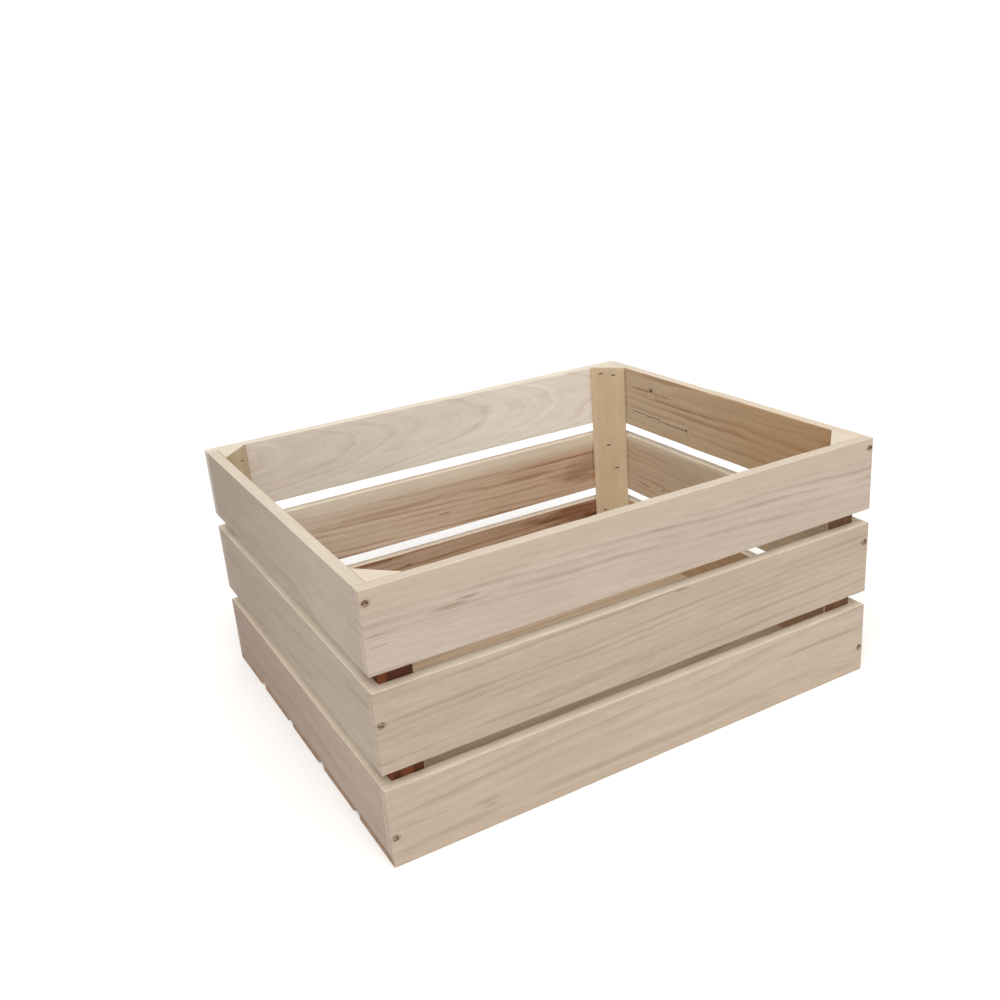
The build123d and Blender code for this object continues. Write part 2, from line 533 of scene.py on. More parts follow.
SEED_STEPS = (917.0, 313.0, 571.0)  # how far a seed moves the noise, along each axis
RING_SEED_STEP = 7.7
RING_BENDS = ((75, 17, 3.6), (13, 1.6, 0.8))  # quicker noise that bends the rings, and how far
LATE_WOOD = (0.30, 0.84)  # where in a ring the late wood begins, and where it is darkest
WEAKEST_RING, WEAKEST_PATCH = 0.2, 0.3  # how faint the faintest rings and patches are
LINES_PER_MM = 0.9
TAN_SHARE = 0.6
PORE_STRENGTH = 0.32
KNOT_STRETCH = 1.6  # knots are this much longer along the grain
KNOT_REACH, KNOT_PUSH = 5.0, 3.0  # how far a knot bends the rings and how much, in knot radii
BRUISE_STRETCH = 1.3
SEE_FACE = (0.3, 0.6)  # how squarely a surface faces one way, from not marked to marked
SEE_OUTER_FACE = (0.1, 0.5)
SEE_SIDE = (0.15, 0.45)
SEE_EDGE = (0.5, 0.8)
SEE_END = (0.6, 0.85)
FADE_SPAN = 0.9  # share of the half length over which a board fades


def wood(name, look, half_length, half_thickness, bruises):
    """The finish of one piece of wood. Bruises are places, along and across, where nails were
    driven into the outer face. Lengths are in millimetres."""
    s = Shader(name)
    coordinates = s.add("ShaderNodeTexCoord")
    mm = s.vector("MULTIPLY", coordinates.outputs["Object"], TO_MM)
    moved = s.vector("ADD", mm, tuple(look.seed * step for step in SEED_STEPS))
    x, y, z = s.split(mm)
    to_end, to_face, to_edge = s.split(coordinates.outputs["Normal"])
    from_end = s.math("SUBTRACT", half_length, s.math("ABSOLUTE", x))

    def from_spot(along, across, stretch):
        """Distance from a place on the board's face, shorter along the grain."""
        dx = s.math("MULTIPLY", s.math("SUBTRACT", x, along), 1 / stretch)
        dz = s.math("SUBTRACT", z, across)
        return s.diagonal(dx, dz)

    def varied(color, *noises):
        """The colour made lighter and darker by each noise round one half, by its amount."""
        for value, amount in noises:
            grey = s.add("ShaderNodeCombineColor")
            shade_of = s.shifted(1.0, value, amount)
            for socket in grey.inputs:
                s.plug(socket, shade_of)
            color = s.mix(1.0, color, grey.outputs[0], blend="MULTIPLY")
        return color

    # Distance from the heart of the log, bent by slow and quick noise.
    dy = s.math("SUBTRACT", y, s.math("MULTIPLY_ADD", x, look.lean[0], look.pith[0]))
    dz = s.math("SUBTRACT", z, s.math("MULTIPLY_ADD", x, look.lean[1], look.pith[1]))
    radius = s.diagonal(dy, dz)
    for along, across, size in ((*RING_DRIFT, look.wobble), *RING_BENDS):
        radius = s.shifted(radius, s.noise(moved, along, across), size)
    knot_core = 0.0
    for along, across, size in look.knots:
        away = from_spot(along, across, KNOT_STRETCH)
        radius = s.math("ADD", radius, s.spread(away, 0.0, size * KNOT_REACH, size * KNOT_PUSH, 0.0))
        knot_core = s.math("MAXIMUM", knot_core, s.spread(away, size * 0.5, size * 1.15, 1.0, 0.0))

    # Year rings: a slow darkening to the late wood, then a quick return.
    phase = s.math("DIVIDE", radius, look.ring)
    ring_id = s.math("FLOOR", phase)
    part = s.math("FRACT", phase)
    darkest = LATE_WOOD[1]
    late = s.math("MULTIPLY", s.spread(part, *LATE_WOOD), s.spread(part, darkest, 1.0, 1.0, 0.0))
    ring_random = s.add("ShaderNodeTexWhiteNoise", noise_dimensions="1D")
    s.plug(ring_random.inputs["W"], s.math("ADD", ring_id, look.seed * RING_SEED_STEP))
    ring_strength = s.spread(ring_random.outputs["Value"], 0.0, 1.0, WEAKEST_RING, 1.0)
    patchy = s.spread(s.noise(moved, *PATCH, detail=3.0), 0.38, 0.64, WEAKEST_PATCH, 1.0)
    strength = s.math("MULTIPLY", patchy, look.contrast)
    late = s.math("MULTIPLY", s.math("MULTIPLY", late, ring_strength), strength)

    # Fine lines that follow the rings, fibres, open pores, and finer and coarser mottling.
    line_noise = s.add("ShaderNodeTexNoise", noise_dimensions="1D")
    s.plug(line_noise.inputs["W"], s.math("MULTIPLY", radius, LINES_PER_MM))
    line_noise.inputs["Scale"].default_value = 1.0
    line_noise.inputs["Detail"].default_value = 3.0
    lines = line_noise.outputs["Fac"]
    fibre = s.noise(moved, *FIBRE, detail=3.0, roughness=0.6)
    pores = s.spread(s.noise(moved, *PORE), 0.60, 0.72)
    speckle = s.noise(moved, *SPECKLE)
    cloud = s.noise(moved, *CLOUD, detail=4.0, roughness=0.65)
    blotch = s.spread(s.noise(moved, *BLOTCH, detail=3.0), 0.36, 0.64)

    color = s.mix(s.math("MULTIPLY", blotch, TAN_SHARE), look.cream, look.tan)
    color = s.mix(late, color, look.streak, blend="MULTIPLY")
    color = varied(color, (lines, 0.22), (cloud, 0.24), (fibre, 0.20), (speckle, 0.12))
    color = s.mix(s.math("MULTIPLY", pores, PORE_STRENGTH), color, look.streak, blend="MULTIPLY")

    if look.fade:
        towards = s.math("MULTIPLY", x, look.fade_way)
        faded = s.spread(towards, -FADE_SPAN * half_length, FADE_SPAN * half_length)
        color = s.mix(faded, color, look.fade, blend="MULTIPLY")

    # Stains, painted shadow lines and a band of another colour, on one face.
    marked_face = s.spread(s.math("MULTIPLY", to_face, look.stain_and_shadow_face), *SEE_FACE)
    outer_face = s.spread(s.math("MULTIPLY", to_face, -1.0), *SEE_OUTER_FACE)
    for along, across, reach, half_width, strength in look.stains_and_shadows:
        away = from_spot(along, across, reach / half_width)
        uneven = s.shifted(away, s.noise(moved, *STAIN_EDGE, detail=4.0), half_width * 2.2)
        inside = s.spread(uneven, half_width * 0.3, half_width * 1.2, strength, 0.0)
        color = s.mix(s.math("MULTIPLY", marked_face, inside), color, look.stain_and_shadow_tint, blend="MULTIPLY")
    if look.band:
        across, half_width, strength, tone = look.band
        bent = s.shifted(z, s.noise(moved, *BAND_EDGE, detail=3.0), 14.0)
        off = s.math("ABSOLUTE", s.math("SUBTRACT", bent, across))
        inside = s.spread(off, half_width * 0.3, half_width, strength, 0.0)
        tone = varied(tone, (cloud, 0.2), (fibre, 0.2))
        color = s.mix(s.math("MULTIPLY", marked_face, inside), color, tone)

    # Bruises round the nails. The walls of the torn holes, just under the face, are painted dark: painted
    # shade inside the holes.
    torn = 0.0
    for along, across in bruises:
        away = s.shifted(from_spot(along, across, BRUISE_STRETCH), speckle, 3.0)
        mask = s.math("MULTIPLY", outer_face, s.spread(away, 1.6, 4.2, 0.85, 0.0))
        color = s.mix(mask, color, BRUISE_TINT, blend="MULTIPLY")
        torn = s.math("MAXIMUM", torn, s.spread(away, 3.0, 3.8, 1.0, 0.0))
    if bruises:
        below = s.spread(s.math("ADD", y, half_thickness), 0.1, 0.4)
        broken = s.spread(s.noise(moved, *BROKEN), 0.38, 0.5, 0.25, 1.0)
        dark = s.math("MULTIPLY", s.math("MULTIPLY", torn, below), broken)
        dark = s.math("MULTIPLY", dark, s.spread(from_end, 0.3, 0.9, 0.0, 0.9))
        color = s.mix(dark, color, CRACK_AND_HOLE_SHADE_COLOR)

    if look.knots:
        color = s.mix(s.math("MULTIPLY", knot_core, 0.9), color, KNOT_COLOR)
    crack_mask = 0.0
    for along, across, reach, slope in look.cracks:
        bend = s.math("MULTIPLY", s.math("SUBTRACT", s.noise(moved, *CRACK_BEND), 0.5), 3.0)
        past = s.math("SUBTRACT", x, along)
        line = s.math("MULTIPLY_ADD", past, slope, across)
        off = s.math("ABSOLUTE", s.math("ADD", s.math("SUBTRACT", z, line), bend))
        within = s.spread(s.math("ABSOLUTE", past), reach * 0.6, reach, 1.0, 0.0)
        this_crack = s.math("MULTIPLY", within, s.spread(off, 0.2, 0.85, 1.0, 0.0))
        crack_mask = s.math("MAXIMUM", crack_mask, this_crack)
    if look.cracks:
        crack_mask = s.math("MULTIPLY", crack_mask, marked_face)
        color = s.mix(s.math("MULTIPLY", crack_mask, 0.75), color, CRACK_AND_HOLE_SHADE_COLOR)

    # The narrow edges are paler: partly paler sawn wood, partly painted light on the top edges,
    # which face the light. A post's sides, apart from the planed face, are dark: partly dark
    # heartwood, partly painted shade and painted red bounce light of the narrow space behind the slats.
    end = s.spread(s.math("ABSOLUTE", to_end), *SEE_END)
    if look.heart:
        lighter = tuple(look.heart_step * c for c in look.heart)
        stripes = s.spread(s.noise(moved, *HEART_STRIPE), 0.48, 0.60)
        heart = varied(s.mix(stripes, look.heart, lighter), (fibre, 0.5))
        sides = s.math("MULTIPLY", s.spread(to_face, *SEE_SIDE), s.spread(from_end, 0.5, 3.5))
        color = s.mix(sides, color, heart)
        color = s.mix(end, color, varied(look.edge, (lines, 0.4), (speckle, 0.2)))
    else:
        # Painted light in part: the top edges, which face the light, are painted paler, beside the paler sawn
        # wood.
        edge = s.spread(s.math("ABSOLUTE", to_edge), *SEE_EDGE)
        pale = varied(look.edge, (cloud, 0.30), (fibre, 0.22))
        color = s.mix(s.math("MULTIPLY", edge, 0.8), color, pale)
        color = s.mix(end, color, look.end_tint, blend="MULTIPLY")

    roughness = s.math("MULTIPLY_ADD", fibre, 0.22, 0.52)
    height = s.math("MULTIPLY_ADD", lines, 0.35, fibre)
    height = s.math("SUBTRACT", height, s.math("MULTIPLY", pores, 0.5))
    if look.cracks:
        height = s.math("SUBTRACT", height, s.math("MULTIPLY", crack_mask, 2.0))
    return s.finish(color, roughness, height, 0.09 * MM)


def steel(name, color, dark, scale):
    """Dull wire or nail steel with brown spots, whose size the scale gives in millimetres."""
    s = Shader(name)
    mm = s.vector("MULTIPLY", s.add("ShaderNodeTexCoord").outputs["Object"], TO_MM)
    spots = s.spread(s.noise(mm, scale, scale, detail=4.0), 0.42, 0.62)
    fine = s.noise(mm, scale / 5, scale / 5)
    tint = s.mix(spots, color, dark)
    roughness = s.math("MULTIPLY_ADD", spots, 0.25, 0.35)
    height = s.math("MULTIPLY_ADD", spots, 0.5, fine)
    return s.finish(tint, roughness, height, 0.03 * MM, metallic=0.3)


# --- how each piece of wood looks ---

REDDISH = (0.60, 0.41, 0.30)
PINKISH = (0.74, 0.665, 0.63)
BROWN_CREAM = (0.52, 0.395, 0.29)
BROWN_TAN = (0.43, 0.305, 0.21)
GREY_CREAM = (0.40, 0.335, 0.265)
GREY_TAN = (0.37, 0.305, 0.24)
# The dark sides of the posts: dark heartwood, with painted shade and painted red bounce light of the narrow
# space behind the slats.
RED_HEART_AND_SHADE = (0.095, 0.026, 0.009)
BROWN_HEART_AND_SHADE = (0.15, 0.072, 0.032)
GREY_STAIN = (0.64, 0.53, 0.46)
WEATHERED = (0.60, 0.60, 0.62)
POST_COLORS = {"ring": 7.5, "contrast": 0.45, "cream": (0.63, 0.50, 0.335), "tan": (0.565, 0.43, 0.28)}
# The floor boards' cut ends are darker and pinker: partly their own colour, partly painted shade on the ends
# under the walls.
FLOOR_COLORS = {
    "cream": (0.42, 0.325, 0.225),
    "tan": (0.36, 0.265, 0.18),
    "edge": (0.44, 0.35, 0.275),
    "end_tint": (0.66, 0.52, 0.45),
}


def post_shadow_line(along, half_length, strength):
    """A painted shadow: a dark line across a slat's inner face, where it meets a post."""
    return (along, 0, half_length, 40, strength)


LOOKS = {
    "front_top_slat": Look(
        1.0, pith=(50, -140), lean=(0.0, -0.05), ring=7.0, contrast=0.85, streak=PINKISH,
        cream=(0.475, 0.39, 0.325), tan=(0.43, 0.345, 0.28), edge=(0.62, 0.535, 0.43),
        stains_and_shadows=(
            (-180, 2, 12, 1.2, 0.7), (-163, 5, 12, 1.2, 0.7), (-172, 0, 24, 0.8, 0.4),
            (-140, 10, 30, 2.0, 0.3), (-240, -3, 9, 0.5, 0.9), (-238, -12, 11, 0.5, 0.7),
        ),
        stain_and_shadow_face=-1.0, stain_and_shadow_tint=GREY_STAIN, band=(30, 20, 0.75, (0.46, 0.375, 0.28)),
    ),
    "front_middle_slat": Look(
        2.0, pith=(40, 150), lean=(0.0, 0.04), ring=6.5, contrast=0.8, streak=(0.73, 0.66, 0.61),
        cream=(0.43, 0.35, 0.275), tan=(0.385, 0.305, 0.23), edge=(0.62, 0.535, 0.43),
        stains_and_shadows=((31, 33, 9, 0.8, 1.0), (-60, -18, 70, 5, 0.3)), stain_and_shadow_face=-1.0, stain_and_shadow_tint=GREY_STAIN,
    ),
    "front_bottom_slat": Look(
        3.0, pith=(70, -60), lean=(0.05, 0.1), ring=8.0, contrast=0.5, streak=PINKISH,
        cream=(0.45, 0.37, 0.295), tan=(0.41, 0.33, 0.25), edge=(0.62, 0.535, 0.43),
        stains_and_shadows=(
            (-168, -12, 15, 2.5, 0.4), (-163, -18, 9, 2.0, 0.4), (195, 9, 48, 2.5, 0.5),
            (-40, -24, 160, 4, 0.3), (-225, -6, 30, 1.5, 0.3),
        ),
        stain_and_shadow_face=-1.0, stain_and_shadow_tint=GREY_STAIN,
    ),
    "back_top_slat": Look(
        4.0, pith=(-60, 10), lean=(0.10, 0.02), ring=4.2, contrast=0.5, wobble=9.0, end_tint=WEATHERED,
        streak=(0.82, 0.75, 0.69), cream=(0.85, 0.79, 0.715), tan=(0.79, 0.73, 0.66),
        fade=(0.87, 0.83, 0.80), stains_and_shadows=(post_shadow_line(-209, 0.8, 0.4),),
    ),
    "back_middle_slat": Look(
        5.0, pith=(45, 140), lean=(0.0, 0.03), ring=6.5, contrast=1.0, cream=(0.66, 0.54, 0.43),
        tan=(0.57, 0.445, 0.335), end_tint=WEATHERED, streak=REDDISH, band=(38, 24, 0.8, SAPWOOD),
        fade=(0.82, 0.73, 0.64), fade_way=-1.0,
        stains_and_shadows=(
            (-4, -15, 10, 1.2, 0.9), (60, 5, 120, 4, 0.4), (-110, 2, 60, 3, 0.6),
            (-190, -8, 40, 16, 0.6), (-150, 12, 70, 1.2, 0.8), post_shadow_line(-209, 0.8, 0.8),
        ),
    ),
    "back_bottom_slat": Look(
        6.0, pith=(45, -130), lean=(0.0, 0.0), ring=7.0, contrast=1.0, cream=BROWN_CREAM, tan=BROWN_TAN,
        end_tint=WEATHERED, streak=REDDISH, band=(-30, 18, 0.8, SAPWOOD), fade=(0.78, 0.68, 0.62),
        fade_way=-1.0,
        stains_and_shadows=(
            (-190, 22, 70, 12, 0.9), (-205, 8, 60, 10, 0.8), (85, 30, 50, 6, 0.8),
            (48, 16, 5, 1.5, 1.0), (70, 29, 4, 1.2, 1.0), post_shadow_line(-209, 0.8, 0.8),
        ),
    ),
    "left_end_top_slat": Look(
        7.0, pith=(150, -60), lean=(0.02, 0.03), contrast=0.4, cream=GREY_CREAM, tan=GREY_TAN,
        fade=(0.76, 0.72, 0.69), fade_way=-1.0,
    ),
    "left_end_middle_slat": Look(
        8.0, pith=(120, 90), lean=(0.02, 0.05), contrast=0.5, cream=(0.39, 0.32, 0.255),
        tan=(0.36, 0.29, 0.23), fade=(0.80, 0.76, 0.74), fade_way=-1.0,
    ),
    "left_end_bottom_slat": Look(
        9.0, pith=(130, -80), lean=(0.0, 0.03), contrast=0.5, cream=(0.375, 0.295, 0.23),
        tan=(0.34, 0.265, 0.205), fade=(0.76, 0.71, 0.69), fade_way=-1.0,
        # A painted shadow: a dark line along the outer face's lower edge, where the slat sits on the floor
        # boards.
        stains_and_shadows=((0, -31.8, 4000, 1.0, 1.0),), stain_and_shadow_face=-1.0, stain_and_shadow_tint=(0.3, 0.22, 0.17),
    ),
    "right_end_top_slat": Look(
        10.0, pith=(-70, 50), lean=(0.03, 0.05), ring=5.5, contrast=0.65, wobble=10.0,
        cream=(0.60, 0.48, 0.345), tan=(0.54, 0.395, 0.26), streak=REDDISH, fade=(0.95, 0.80, 0.64),
        fade_way=-1.0, knots=((112, 16, 2.4), (49, -17, 1.4)),
        cracks=((124, -15, 32, 0.02), (70, -17, 26, 0.03), (97, -17, 3.5, 0.9), (47, -21, 4, 1.6)),
        stains_and_shadows=(
            (60, 6, 70, 1.2, 0.8), post_shadow_line(160.6, 0.9, 0.9), (130, 14, 25, 1.0, 0.9),
            (90, 13, 20, 2.0, 0.5),
        ),
    ),
    "right_end_middle_slat": Look(
        11.0, pith=(50, 120), lean=(0.0, 0.05), ring=6.5, contrast=0.7, cream=(0.60, 0.48, 0.35),
        tan=(0.53, 0.405, 0.28), streak=REDDISH, band=(38, 10, 0.7, SAPWOOD),
        cracks=((128, -20, 12, 0.1), (92, -17, 3, -0.4)), stains_and_shadows=(post_shadow_line(160.6, 0.9, 0.8),),
    ),
    "right_end_bottom_slat": Look(
        12.0, pith=(60, -90), lean=(0.04, 0.0), contrast=0.6, cream=(0.50, 0.34, 0.21),
        tan=(0.42, 0.27, 0.15),
    ),
    "front_left_post": Look(13.0, pith=(60, 70), heart=RED_HEART_AND_SHADE, heart_step=2.2, **POST_COLORS),
    "front_right_post": Look(14.0, pith=(80, -60), heart=BROWN_HEART_AND_SHADE, **POST_COLORS),
    "back_left_post": Look(15.0, pith=(70, 50), heart=BROWN_HEART_AND_SHADE, **POST_COLORS),
    "back_right_post": Look(16.0, pith=(90, -40), heart=BROWN_HEART_AND_SHADE, **POST_COLORS),
    "floor_board_1": Look(17.0, pith=(60, -90), **FLOOR_COLORS),
    "floor_board_2": Look(18.0, pith=(50, 20), lean=(0.06, 0.0), **FLOOR_COLORS),
    "floor_board_3": Look(19.0, pith=(-70, 60), lean=(0.04, 0.02), **FLOOR_COLORS),
    "floor_board_4": Look(20.0, pith=(60, -110), **FLOOR_COLORS),
    "floor_board_5": Look(21.0, pith=(45, 90), ring=8.0, **FLOOR_COLORS),
}

EASED = 0.8 * MM  # radius of the long edges
SEAM = 0.3 * MM  # radius where wall and floor meet
POST_EASING = 0.6 * MM
POST_END_EASING = 0.4 * MM
CORNERS = {"front_left": (-1, -1), "front_right": (1, -1), "back_left": (-1, 1), "back_right": (1, 1)}


def dress(piece, node):
    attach(piece, BODY)
    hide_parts(node)


# --- fasteners ---

NAIL_HEAD = 1.5 * MM
NAIL_SHANK = 0.7 * MM
BRAD_SINK = 0.8 * MM
BRAD_MOUTH = 2.9 * MM  # radius of the torn hole round a brad's head
FLOOR_NAIL_MOUTH = 1.8 * MM
HOLE_GROWTH = 0.03 * MM  # how much wider a nail's hole is than the nail
HOLE_DEPTH = 0.05 * MM  # and how much deeper
SLOT_GROWTH = 0.04 * MM  # how much wider a staple's slot is than its wire
RAGGED_JITTER = 0.10

WIRE_WIDE = 1.2 * MM
WIRE_THICK = 1.0 * MM
SHOULDER = 0.9 * MM  # radius of a staple's bends
SHOULDER_STEPS = 4
CROWN_HOLLOW = 0.06 * MM


def nail_profile(length, grow=0.0, mouth=0.0):
    """A wire nail from its tip to the top of its head, as (radius, distance out). For its hole it
    grows a little, and opens to a mouth of the given radius where the head has torn the fibres."""
    rows = (
        (0.12 * MM, -length),
        (NAIL_SHANK, 1.9 * MM - length),
        (NAIL_SHANK, -1.0 * MM),
        (0.85 * MM, -0.75 * MM),
        (1.42 * MM, -0.6 * MM),
        (NAIL_HEAD, -0.45 * MM),
    )
    profile = [(radius + grow, out) for radius, out in rows]
    if mouth:
        profile += [(1.55 * MM, 0.0), (mouth * 0.75, 0.22 * MM), (mouth, 0.75 * MM), (mouth * 1.05, 2.5 * MM)]
    else:
        profile += [(NAIL_HEAD, -0.14 * MM), (1.38 * MM, -0.02 * MM), (0.7 * MM, 0.0)]
    return profile


def nail_seats(node, outward):
    """For each nail of a CAD node: its length, and the matrix from the nail's axes to the crate's."""
    outward = Vector(outward)
    turn = outward.to_track_quat("Z", "Y").to_matrix().to_4x4()
    seats = []
    for points in solids_of(node):
        along = points @ np.array(outward)
        middle = Vector((points.min(0) + points.max(0)) / 2)
        top = middle + outward * (along.max() - middle.dot(outward))
        seats.append((along.max() - along.min(), Matrix.Translation(top) @ turn))
    return seats


def nails(name, node, outward, mouth):
    """Adds the nails of one node as one piece, and gives a cutter for the holes they sit in."""
    rng = random.Random(name)
    shapes, holes = Bundle(), Bundle()
    for length, place in nail_seats(node, outward):
        shapes.add(*lathe_points(nail_profile(length), place))
        turn, lobes = rng.uniform(0, 2 * math.pi), rng.choice((2, 3))
        ragged = []
        for k in range(NAIL_SEGMENTS):
            a = 2 * math.pi * k / NAIL_SEGMENTS + turn
            jitter = rng.uniform(-RAGGED_JITTER, RAGGED_JITTER)
            ragged.append(1 + 0.16 * math.sin(a) + 0.10 * math.sin(lobes * a) + jitter)
        hole = nail_profile(length + HOLE_DEPTH, HOLE_GROWTH, mouth)
        holes.add(*lathe_points(hole, place, ragged))
    mesh = shapes.mesh(name)
    shade(mesh)
    dress(add_object(name, mesh), node)
    return holes


def post_axes(corner):
    """A post's right-angled corner, the ends of its legs, its own axes, its height and the way its
    slanting face looks, from the CAD mesh."""
    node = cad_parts[f"{corner}_post"]
    side = CORNERS[corner]
    slanting = []
    for face in node.data.polygons:
        if face.normal.x * side[0] < -0.3 and face.normal.y * side[1] < -0.3:
            slanting.append(face)
    inward = max(slanting, key=lambda face: face.area).normal.copy()
    low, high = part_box(f"{corner}_post")
    heel_x = high.x if side[0] > 0 else low.x
    heel_y = high.y if side[1] > 0 else low.y
    heel = Vector((heel_x, heel_y, (low.z + high.z) / 2))
    face_at = max(v.co.dot(inward) for v in node.data.vertices)
    leg_x = (face_at - inward.dot(heel)) / inward.x
    leg_y = (face_at - inward.dot(heel)) / inward.y
    ends = (heel + Vector((leg_x, 0, 0)), heel + Vector((0, leg_y, 0)))
    axes = Matrix((Vector((0, 0, 1)), -inward, Vector((0, 0, 1)).cross(-inward))).transposed()
    return heel, ends, axes, high.z - low.z, inward


def shoulder(middle_u, middle_v, first_angle):
    """Points of one rounded bend of a staple, going a quarter turn back from the first angle."""
    points = []
    for k in range(SHOULDER_STEPS + 1):
        a = first_angle - k * math.pi / (2 * SHOULDER_STEPS)
        points.append((middle_u + SHOULDER * math.cos(a), middle_v + SHOULDER * math.sin(a)))
    return points


def staple_shape(top, across, out, up, half, depth, grow):
    """A staple from leg tip to leg tip, with rounded shoulders and a slightly hollow crown."""
    half = half - WIRE_THICK / 2
    crown = -WIRE_THICK / 2
    path = [(-half, -depth), (-half, -depth * 0.5)]
    path += shoulder(-half + SHOULDER, crown - SHOULDER, math.pi)
    path += [(-half * 0.3, crown - CROWN_HOLLOW), (half * 0.3, crown - CROWN_HOLLOW)]
    path += shoulder(half - SHOULDER, crown - SHOULDER, math.pi / 2)
    path += [(half, -depth * 0.5), (half, -depth)]
    line = [top + across * u + out * v for u, v in path]
    return wire_points(line, up, WIRE_WIDE + 2 * grow, WIRE_THICK + 2 * grow)


def staples(name, corner):
    """Adds the staples of one post as one piece, and gives a cutter for the slots they sit in."""
    inward = post_axes(corner)[4]
    shapes, slots = Bundle(), Bundle()
    for points in solids_of(f"{corner}_staples"):
        out = points @ np.array(inward)
        top = points[out > out.max() - 0.3 * MM]
        middle = Vector((top.min(0) + top.max(0)) / 2)
        # The crown's top face is long and narrow, so its main direction is the crown's.
        crown_way = Vector(np.linalg.svd(top - np.array(middle))[2][0])
        width_way = crown_way.cross(inward).normalized()
        half = max(abs((Vector(p) - middle).dot(crown_way)) for p in top)
        depth = out.max() - out.min()
        for bundle, grow in ((shapes, 0.0), (slots, SLOT_GROWTH)):
            bundle.add(*staple_shape(middle, crown_way, inward, width_way, half, depth, grow))
    mesh = shapes.mesh(name)
    shade(mesh)
    dress(add_object(name, mesh), f"{corner}_staples")
    return slots


SPLINTER_SPANS = (-2.4, -1.2, 1.4, 2.4)  # places across a hole between which its splinters lie, in mm
SPLINTER_COUNT = (12, 16)
SPLINTER_LENGTH = (1.4, 3.8)  # in millimetres, as are the next four
SPLINTER_WIDTH = (0.3, 0.8)
SPLINTER_THICKNESS = (0.18, 0.4)
SPLINTER_LIFT = (-0.5, 0.45)
SPLINTER_DRIFT = (-0.5, 0.5)
SAME_SIDE = 0.75  # share of the splinters on a hole's more torn side
SPLINTER_ROOT = 0.4 * MM  # how deep they are rooted in the wood
SPLINTER_PROUD = 0.03 * MM
WEDGE_FACES = ((0, 1, 2, 3), (0, 4, 5, 1), (1, 5, 6, 2), (2, 6, 3), (3, 6, 4, 0), (4, 6, 5))


def fibres(seats, rng):
    """Torn splinters round each nail hole, lying along the grain: thin wedges rooted in the wood."""
    splinters = Bundle()
    for _, place in seats:
        torn_side = rng.choice((-1, 1))
        low, high = sorted(rng.sample(SPLINTER_SPANS, 2))
        for _ in range(rng.randint(*SPLINTER_COUNT)):
            side = torn_side if rng.random() < SAME_SIDE else -torn_side
            long = rng.uniform(*SPLINTER_LENGTH) * MM
            wide = rng.uniform(*SPLINTER_WIDTH) * MM
            thick = rng.uniform(*SPLINTER_THICKNESS) * MM
            across = rng.uniform(low, high) * MM
            root = side * (math.sqrt(max(0.0, BRAD_MOUTH ** 2 - across ** 2)) + SPLINTER_ROOT)
            tip = root - side * long
            lift = rng.uniform(*SPLINTER_LIFT) * MM
            face = BRAD_SINK
            drift = rng.uniform(*SPLINTER_DRIFT) * MM
            shape = (
                (root, across - wide / 2, face - thick),
                (root, across + wide / 2, face - thick),
                (root, across + wide / 2, face + SPLINTER_PROUD),
                (root, across - wide / 2, face + SPLINTER_PROUD),
                (tip, across + drift - wide / 6, face + lift - thick / 2),
                (tip, across + drift + wide / 6, face + lift - thick / 2),
                (tip, across + drift, face + lift),
            )
            splinters.add([place @ Vector(p) for p in shape], WEDGE_FACES)
    return splinters


# --- the build ---

corner_holes = {}
for corner, (_, side_y) in CORNERS.items():
    brad_holes = nails(f"{corner}_brad_nails", f"{corner}_brads", (0, side_y, 0), BRAD_MOUTH)
    corner_holes[corner] = (brad_holes, staples(f"{corner}_wire_staples", corner))
floor_holes = {}
for end in ("left", "right"):
    floor_holes[end] = nails(f"{end}_floor_wire_nails", f"{end}_floor_nails", (0, 0, -1), FLOOR_NAIL_MOUTH)


def wood_shape(node, seed):
    """The mesh of one piece of wood, its place, its sizes along and through, and its slot."""
    if node.endswith("post"):
        heel, ends, axes, tall, _ = post_axes(node.removesuffix("_post"))
        inverse = axes.transposed()
        outline = [Vector((inverse @ (p - heel)).yz) for p in (heel, *ends)]
        mesh = prism_mesh(node, rounded_outline(outline, POST_EASING), tall, POST_END_EASING)
        return mesh, Matrix.Translation(heel) @ axes.to_4x4(), (tall, 0.0), "post_wood"
    place, spans = board_place(node)
    if node.startswith("floor"):
        easing = {(-1, -1): SEAM, (-1, 1): SEAM, (1, -1): EASED, (1, 1): EASED}
        mesh = board_mesh(node, spans, easing, seed, bow=0.0)
        return mesh, place, spans[:2], "floor_wood"
    lower = SEAM if "bottom" in node else EASED
    easing = {(-1, -1): lower, (1, -1): lower, (-1, 1): EASED, (1, 1): EASED}
    mesh = board_mesh(node, spans, easing, seed, free_sides=("bottom" not in node, True))
    return mesh, place, spans[:2], "slat_wood"


def cutters_of(node):
    """The holes and slots that reach into a piece of wood."""
    cutters = []
    for corner, bundles in corner_holes.items():
        wall, end = corner.split("_")
        if node == f"{corner}_post":
            cutters.append(bundles[1])
        elif node.endswith("slat") and node.startswith((wall, f"{end}_end")):
            cutters += bundles
    for end, bundle in floor_holes.items():
        if node.startswith("floor") or node == f"{end}_end_bottom_slat":
            cutters.append(bundle)
    return cutters


def brads_in(node):
    """The seats of the brads that are driven into a front or back slat's outer face."""
    low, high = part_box(node)
    seats = []
    for corner, (_, side_y) in CORNERS.items():
        wall = corner.split("_")[0]
        if node.endswith("slat") and node.startswith(wall):
            for seat in nail_seats(f"{corner}_brads", (0, side_y, 0)):
                if low.z < seat[1].translation.z < high.z:
                    seats.append(seat)
    return seats


